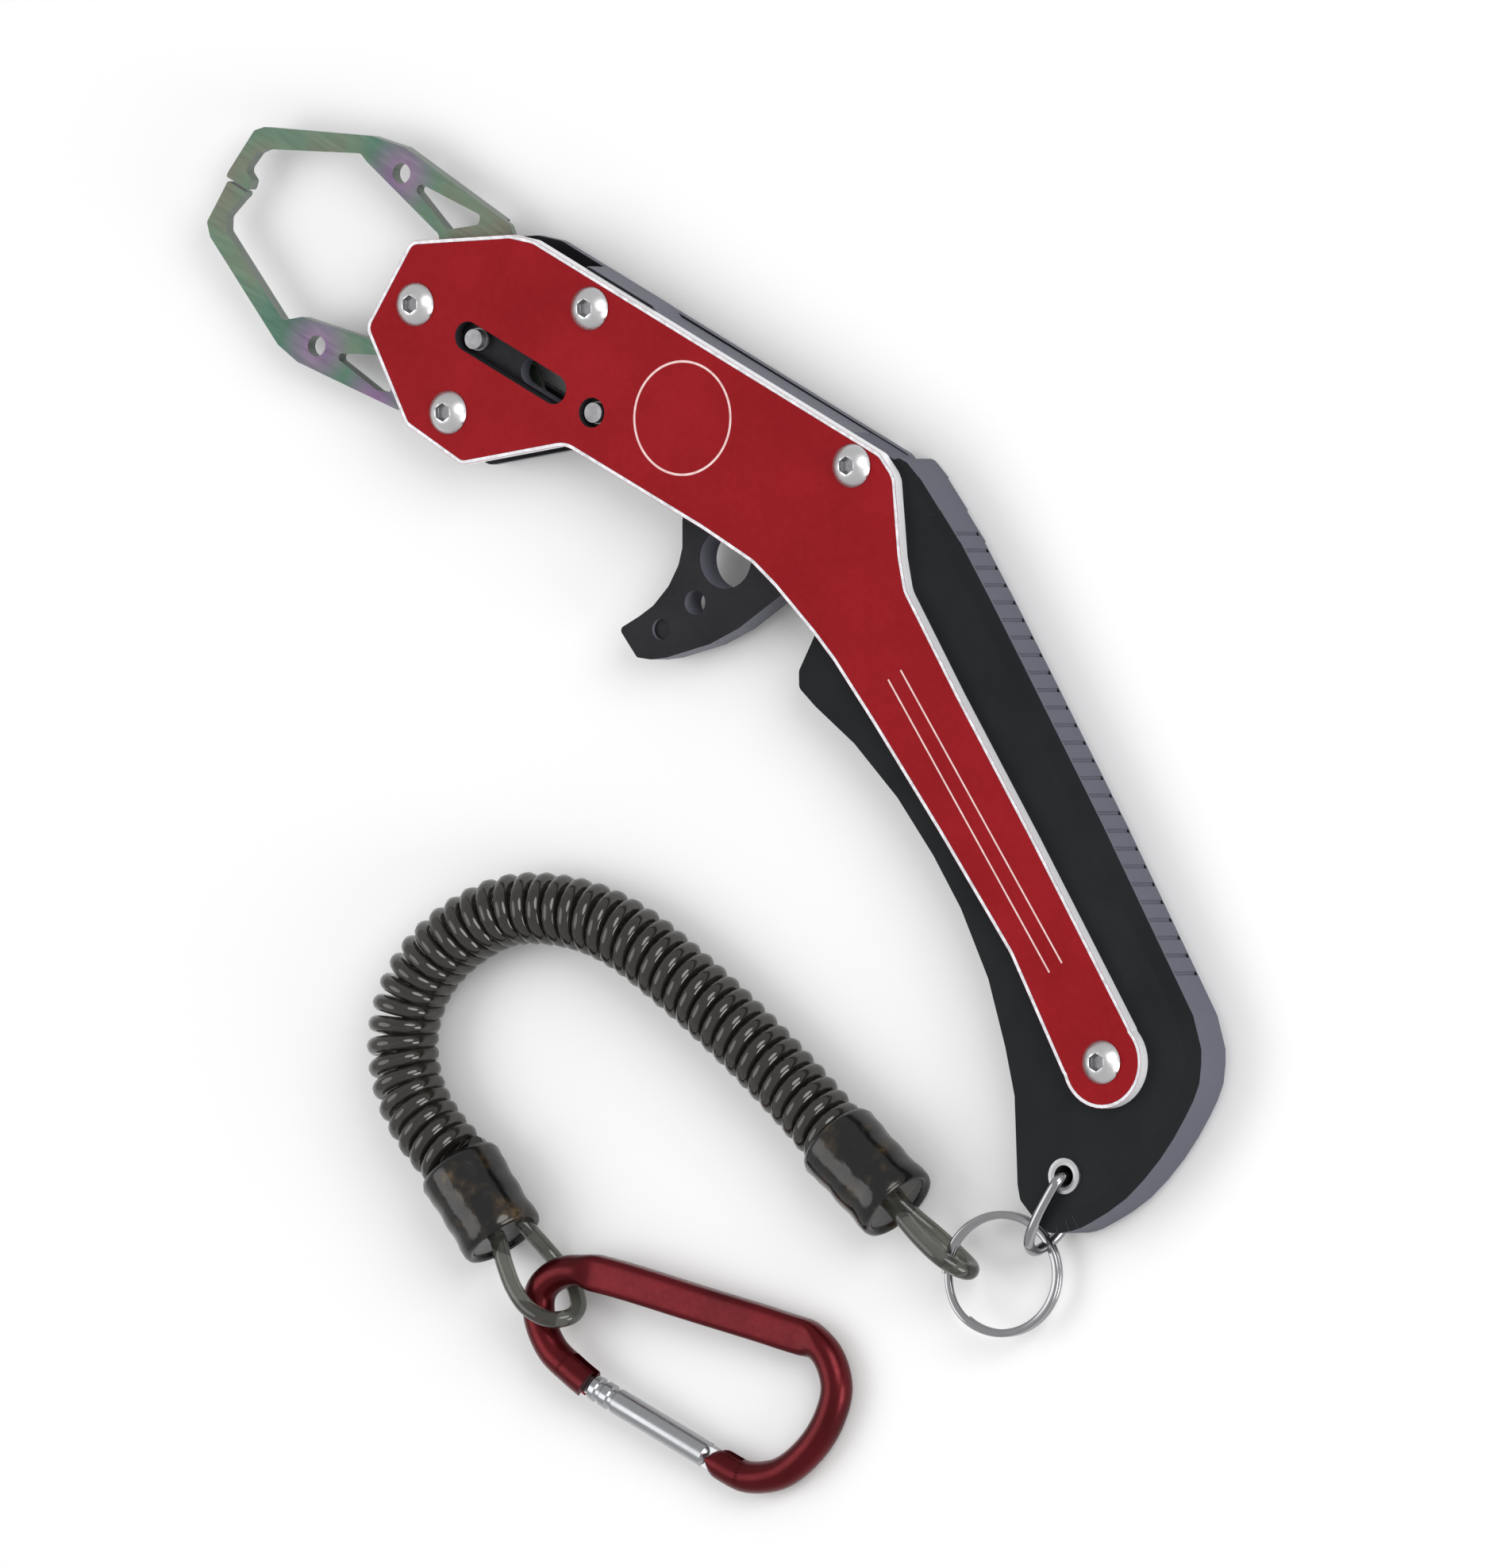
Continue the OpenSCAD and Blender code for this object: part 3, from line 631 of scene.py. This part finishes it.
def make_lanyard():
    cap_grip = make_cap("cap_grip_sleeve", CAP_GRIP)
    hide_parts("cap_grip")
    cap_clip = make_cap("cap_clip_sleeve", CAP_CLIP)
    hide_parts("cap_clip")

    coil = cord_curve("curly_cord", coil_path(), CORD, MATERIALS["cord_smoke"])
    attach(coil, "frame")
    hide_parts("lanyard_coil")

    for name, route, length, node, cap in (
        ("loop_at_ring", LOOP_GRIP_ROUTE, LOOP_GRIP_LENGTH, "cord_loop_grip", CAP_GRIP),
        ("loop_at_clip", LOOP_CLIP_ROUTE, LOOP_CLIP_LENGTH, "cord_loop_clip", CAP_CLIP),
    ):
        loop = cord_curve(name, smooth_path(route, 8), CORD, LOOP_SMOKE)
        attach(loop, "frame")
        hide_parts(node)


make_lanyard()

# ---------------------------------------------------------------- split ring

RING_AT = Vector((179.6, -95.0, 5.0)) * MM
RING_RADIUS = 10.2 * MM
RING_WIRE = 1.08 * MM
RING_WIDE = 1.38 * MM
RING_CORNER = 0.35 * MM
RING_FIRST_TURN = 0.07
RING_TURNS = 1.86
RING_STEP = 0.075
RING_LEAN = math.radians(10)
RING_TURNED = math.radians(205)


def rounded_square(half, corner, steps=4):
    out = []
    for quarter in range(4):
        base = quarter * math.pi / 2
        cx = (half - corner) * (1 if quarter in (0, 3) else -1)
        cy = (half - corner) * (1 if quarter in (0, 1) else -1)
        for k in range(steps):
            a = base + math.pi / 2 * k / (steps - 1)
            out.append((cx + corner * math.cos(a), cy + corner * math.sin(a)))
    return out


def make_split_ring():
    """Two turns of flat wire lying on each other, with the step between them."""
    path = []
    count = 220
    for i in range(count + 1):
        turn = RING_FIRST_TURN + RING_TURNS * i / count
        step = max(-1.0, min(1.0, (turn - 1.0) / RING_STEP))
        lift = RING_WIRE / 2 * 1.10 * math.sin(step * math.pi / 2)
        a = 2 * math.pi * turn
        path.append(Vector((RING_RADIUS * math.cos(a), RING_RADIUS * math.sin(a), lift)))
    section = [(a * RING_WIDE / RING_WIRE, b)
               for a, b in rounded_square(RING_WIRE / 2, RING_CORNER)]
    shape = sweep(path, lambda i: section)
    place = (Matrix.Translation(RING_AT) @ Matrix.Rotation(AXIS_YAW, 4, "Z")
             @ Matrix.Rotation(RING_LEAN, 4, "Y") @ Matrix.Rotation(RING_TURNED, 4, "Z"))
    ring = make_mesh("split_ring_coil", moved(shape, place), MATERIALS["chrome"], 60)
    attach(ring, "frame")
    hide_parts("split_ring")


make_split_ring()

# ---------------------------------------------------------------- link

EYE = Vector((185.9, -72.5, 0)) * MM
LINK_RUN = math.radians(-95.7)
LINK_WIRE = 1.9 * MM


def make_link():
    """Bent wire link: square at the eyelet and rounded where it carries the ring."""
    run = Vector((math.cos(LINK_RUN), math.sin(LINK_RUN), 0))
    corners = [(1.6, 1.0), (0.55, 1.6), (0.05, 3.0), (0.0, 6.5), (0.05, 10.2),
               (0.6, 11.6), (1.7, 12.2), (4.5, 12.3), (8.0, 12.1), (11.6, 11.3),
               (14.2, 9.6), (15.5, 6.8), (14.6, 4.0), (12.4, 2.0), (9.0, 1.2), (5.0, 1.0)]
    path = smooth_path([tuple(EYE / MM + run * a + Vector((0, 0, b)))
                        for a, b in corners + corners[:1]], 6)
    section = circle(LINK_WIRE / 2, 20)
    link = make_mesh("link_wire", sweep(path[:-1], lambda i: section, True),
                     MATERIALS["chrome"], 60)
    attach(link, "frame")
    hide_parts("link")


make_link()

# ---------------------------------------------------------------- carabiner

CLIP_LEAN = (Matrix.Translation(Vector((160, 0, 2.85)) * MM)
             @ Matrix.Rotation(math.radians(3.2), 4, "Y")
             @ Matrix.Translation(Vector((-160, 0, 0)) * MM))
CLIP_R = 2.8 * MM
SLOT_HALF = 1.1 * MM
PIVOT = Vector((144.3, -151.3, 0)) * MM
NOSE_X = 114.4 * MM
CLIP_ROUTE = [(114.4, -151.3, 0), (110.6, -150.7, 0), (105.3, -149.4, 0), (100.8, -146.0, 0),
              (98.7, -141.7, 0), (100.1, -137.6, 0), (103.9, -134.7, 0), (111.6, -132.3, 0),
              (127.1, -128.8, 0), (143.5, -125.1, 0), (151.9, -123.9, 0), (157.5, -128.0, 0),
              (159.1, -134.1, 0), (158.2, -140.8, 0), (155.0, -147.1, 0), (149.6, -150.8, 0),
              (144.3, -151.3, 0)]
PANEL = (0.39, 0.61)
PANEL_FADE = 0.035


def ease(t):
    t = max(0.0, min(1.0, t))
    return t * t * (3 - 2 * t)


def clip_section(share, sides=32):
    """Round bar, pressed to a flat-faced bar along the spine panel."""
    press = min(ease((share - PANEL[0]) / PANEL_FADE + 0.5),
                ease((PANEL[1] - share) / PANEL_FADE + 0.5))
    wide = CLIP_R + 0.45 * MM * press
    high = CLIP_R - 0.7 * MM * press
    power = 1.0 - 0.55 * press
    out = []
    for k in range(sides):
        a = 2 * math.pi * k / sides
        c, s = math.cos(a), math.sin(a)
        out.append((math.copysign(abs(c) ** power, c) * wide,
                    math.copysign(abs(s) ** power, s) * high))
    return out


def cheek_section(sign):
    """Part of the round section beyond the slot, on one side of it."""
    r, steps = CLIP_R, 12
    start = math.asin(SLOT_HALF / r)
    arc = [start + (math.pi - 2 * start) * k / steps for k in range(steps + 1)]
    pts = [(r * math.cos(a), sign * r * math.sin(a)) for a in arc]
    return pts if sign > 0 else pts[::-1]


def make_carabiner():
    steps = 8
    full = smooth_path(CLIP_ROUTE, steps)
    total = len(full) - 1
    first = next(i for i, p in enumerate(full) if p.x < NOSE_X - 5.0 * MM)
    last = next(i for i in range(total, 0, -1) if full[i].x > PIVOT.x + 3.5 * MM)
    body = sweep(full[first:last + 1], lambda i: clip_section((first + i) / total))
    nose = full[first + 1::-1]
    tail = full[last - 1:]
    round_end = [PIVOT + Vector((-x, 0, 0)) * MM for x in (0.8, 1.5, 2.1, 2.5)]
    shrink = [0.96, 0.83, 0.60, 0.28]
    parts = [body]
    for sign in (1, -1):
        nose_cheek = cheek_section(sign)
        parts.append(sweep(nose, lambda i: nose_cheek))
        tail_path = tail + round_end
        sizes = [1.0] * len(tail) + shrink

        def tail_section(i, sign=sign, sizes=sizes):
            return [(a * sizes[i], b) for a, b in cheek_section(sign)]

        parts.append(sweep(tail_path, tail_section))
    clip = make_mesh("carabiner_bar", moved(join(*parts), CLIP_LEAN), MATERIALS["clip_red"], 40)
    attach(clip, "frame")
    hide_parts("carabiner_body")


def make_gate():
    """Turned bar with a grooved tip, and the flat tongues that sit in the two forks."""
    start, end = NOSE_X + 0.8 * MM, PIVOT.x - 3.2 * MM
    r = 2.3 * MM
    profile = [(start, 0.0004), (start, r - 0.0005), (start + 0.0004, r - 0.0001),
               (start + 0.0015, r), (start + 0.0018, r - 0.00035),
               (start + 0.0025, r - 0.00035), (start + 0.0028, r),
               (start + 0.0042, r), (start + 0.0045, r - 0.00035), (start + 0.0052, r - 0.00035),
               (start + 0.0055, r), (end - 0.0006, r), (end, r - 0.0006), (end, 0.0004)]
    bar = moved(revolve(profile, 40), Matrix.Translation((0, PIVOT.y, 0)))
    half = 0.95 * MM
    eye = [(PIVOT.x + 2.0 * MM * math.cos(a), PIVOT.y + 2.0 * MM * math.sin(a))
           for a in (math.radians(-90 + 180 * k / 14) for k in range(15))]
    tongue = prism(eye + [(end - 0.0005, PIVOT.y + 0.0019), (end - 0.0005, PIVOT.y - 0.0019)],
                   -half, half)
    tip_x = NOSE_X - 4.0 * MM
    tip = [(tip_x + 0.0006, PIVOT.y - 0.0015), (start + 0.0005, PIVOT.y - 0.0015),
           (start + 0.0005, PIVOT.y + 0.0015), (tip_x + 0.0006, PIVOT.y + 0.0015),
           (tip_x, PIVOT.y + 0.0009), (tip_x, PIVOT.y - 0.0009)]
    shape = join(bar, tongue, prism(tip, -half, half))
    gate = make_mesh("gate_bar", moved(shape, CLIP_LEAN), MATERIALS["gate_aluminium"], 35)
    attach(gate, "gate")
    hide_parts("carabiner_gate")


make_carabiner()
make_gate()

# ---------------------------------------------------------------- return spring

SPRING_START, SPRING_END = 88.0 * MM, 122.0 * MM
SPRING_Z = 6.6 * MM
SPRING_COIL = 2.3 * MM
SPRING_WIRE = 0.8 * MM
SPRING_TURNS = 13
END_OPENING = 0.035


def make_spring():
    """Round wire coil, its turns a little wider apart at the two ends."""
    path = []
    per_turn = 24
    count = SPRING_TURNS * per_turn
    length = SPRING_END - SPRING_START - SPRING_WIRE
    for i in range(count + 1):
        share = i / count
        a = 2 * math.pi * i / per_turn
        pitch = share + END_OPENING * math.sin(2 * math.pi * share)
        x = SPRING_START + SPRING_WIRE / 2 + length * pitch
        path.append(Vector((x, SPRING_COIL * math.cos(a), SPRING_Z + SPRING_COIL * math.sin(a))))
    section = circle(SPRING_WIRE / 2, 10)
    spring = make_mesh("spring_coil", sweep(path, lambda i: section), MATERIALS["steel"], 60)
    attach(spring, "frame")
    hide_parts("return_spring")
    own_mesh(spring)


make_spring()

# ---------------------------------------------------------------- painted marks on the plate

PLATE_TOP = 12.7 * MM
MARK_HEIGHT = 0.03 * MM
MARK_RING_AT = (57.7, 7.7)
MARK_RING_RADIUS = 9.8
MARK_RING_WIDTH = 0.4 * MM
STRIPE_FROM = Vector((116.5, -11.6))
STRIPE_RUN = Vector((0.871, -0.491)).normalized()
STRIPE_LENGTH = 60.0
STRIPE_SHIFTS = (-1.5, 1.5)
STRIPE_WIDTH = 0.3 * MM


def band(points, width, closed):
    """Thin flat ribbon of paint along a line on the plate's face."""
    half = width / 2
    low, high = -0.01 * MM, MARK_HEIGHT
    section = [(-half, low), (half, low), (half, high), (-half, high)]
    return sweep([Vector((x * MM, y * MM, PLATE_TOP)) for x, y in points],
                 lambda i: section, closed)


def plate_outline():
    """Outer boundary of the front plate's flat face, in order, from the CAD mesh."""
    mesh = frame["nodes"]["front_plate"].data
    top = max(v.co.z for v in mesh.vertices)
    key = {}
    spot = []
    for v in mesh.vertices:
        tag = (round(v.co.x * 1e6), round(v.co.y * 1e6), round(v.co.z * 1e6))
        spot.append(key.setdefault(tag, v.index))
    edges = {}
    for face in mesh.polygons:
        if all(abs(mesh.vertices[i].co.z - top) < 1e-6 for i in face.vertices):
            ring = [spot[i] for i in face.vertices]
            for a, b in zip(ring, ring[1:] + ring[:1]):
                edges[(a, b)] = edges.get((a, b), 0) + 1
    step = {a: b for a, b in edges if (b, a) not in edges}
    best = []
    left = set(step)
    while left:
        start = min(left)
        loop = []
        at = start
        while at in left:
            left.discard(at)
            loop.append(at)
            at = step[at]
        if len(loop) > 2:
            loop_points = [mesh.vertices[i].co.copy() for i in loop]
            span = max(p.x for p in loop_points) - min(p.x for p in loop_points)
            if not best or span > best[0]:
                best = [span, loop_points]
    return best[1]


def make_edge_line():
    """Bare bright metal line, milled as a shallow chamfer along the plate's whole edge."""
    outer = plate_outline()
    clean = [p for i, p in enumerate(outer) if (p - outer[i - 1]).length > 0.05 * MM]
    count = len(clean)
    area = sum(clean[i - 1].x * clean[i].y - clean[i].x * clean[i - 1].y for i in range(count))
    turn = 1 if area > 0 else -1
    inward = []
    for i, p in enumerate(clean):
        before = (p - clean[i - 1]).normalized()
        after = (clean[(i + 1) % count] - p).normalized()
        first = Vector((-before.y, before.x, 0)) * turn
        second = Vector((-after.y, after.x, 0)) * turn
        middle = (first + second).normalized()
        inward.append(middle / max(0.5, middle.dot(first)))
    verts, faces = [], []
    levels = ((0.03, -0.18), (0.06, MARK_HEIGHT / MM), (0.62, MARK_HEIGHT / MM), (0.64, 0.0))
    for inset, lift in levels:
        verts += [p + n * inset * MM + Vector((0, 0, lift * MM)) for p, n in zip(clean, inward)]
    for level in range(4):
        base, over = level * count, ((level + 1) % 4) * count
        for i in range(count):
            j = (i + 1) % count
            faces.append((base + i, base + j, over + j, over + i))
    line = make_mesh("plate_edge_line", (verts, faces), EDGE_METAL, 30)
    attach(line, "frame")


def make_marks():
    """A plain ring and pinstripes: generic decoration, no lettering."""
    ring = [(MARK_RING_AT[0] + x, MARK_RING_AT[1] + y) for x, y in circle(MARK_RING_RADIUS, 96)]
    parts = [band(ring, MARK_RING_WIDTH, True)]
    across = Vector((-STRIPE_RUN.y, STRIPE_RUN.x))
    for shift in STRIPE_SHIFTS:
        start = STRIPE_FROM + across * shift
        stripe = [tuple(start + STRIPE_RUN * (STRIPE_LENGTH * k / 12)) for k in range(13)]
        parts.append(band(stripe, STRIPE_WIDTH, False))
    marks = make_mesh("plate_marks", join(*parts), MARK_PAINT, 30)
    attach(marks, "frame")


make_edge_line()
make_marks()

# ---------------------------------------------------------------- stage

bpy.context.scene.view_settings.view_transform = "Standard"


FLOOR_HALF = 3.0
FLOOR_AT = -0.0002
SKY_STRENGTH = 0.68


def make_stage():
    """Pale paper floor under the part, and an even white surround."""
    s = Shader("floor_paper", (0.86, 0.86, 0.86), roughness=0.9)
    s.drive("Base Color", s.ramp(s.noise(3, 2), (0.3, 0.85), (0.7, 0.87)))
    corners = ((-1, -1), (1, -1), (1, 1), (-1, 1))
    verts = [(x * FLOOR_HALF, y * FLOOR_HALF, FLOOR_AT) for x, y in corners]
    floor = make_mesh("floor", (verts, [(0, 1, 2, 3)]), s.material)
    world = bpy.data.worlds.new("studio")
    world.use_nodes = True
    world.node_tree.nodes["Background"].inputs["Color"].default_value = (1, 1, 1, 1)
    world.node_tree.nodes["Background"].inputs["Strength"].default_value = SKY_STRENGTH
    bpy.context.scene.world = world


def area_light(name, at, aim, size, power):
    data = bpy.data.lights.new(name, "AREA")
    data.shape = "DISK"
    data.size = size
    data.energy = power
    lamp = bpy.data.objects.new(name, data)
    lamp.location = at
    lamp.rotation_euler = (Vector(aim) - Vector(at)).to_track_quat("-Z", "Y").to_euler()
    bpy.context.scene.collection.objects.link(lamp)


CENTRE = (0.09, -0.05, 0.0)
make_stage()
area_light("key", (0.75, 0.75, 0.85), CENTRE, 0.8, 7.4)
area_light("fill", (-0.6, -0.5, 1.0), CENTRE, 1.0, 5.0)
area_light("side", (1.1, 0.1, 0.25), CENTRE, 0.5, 3.5)
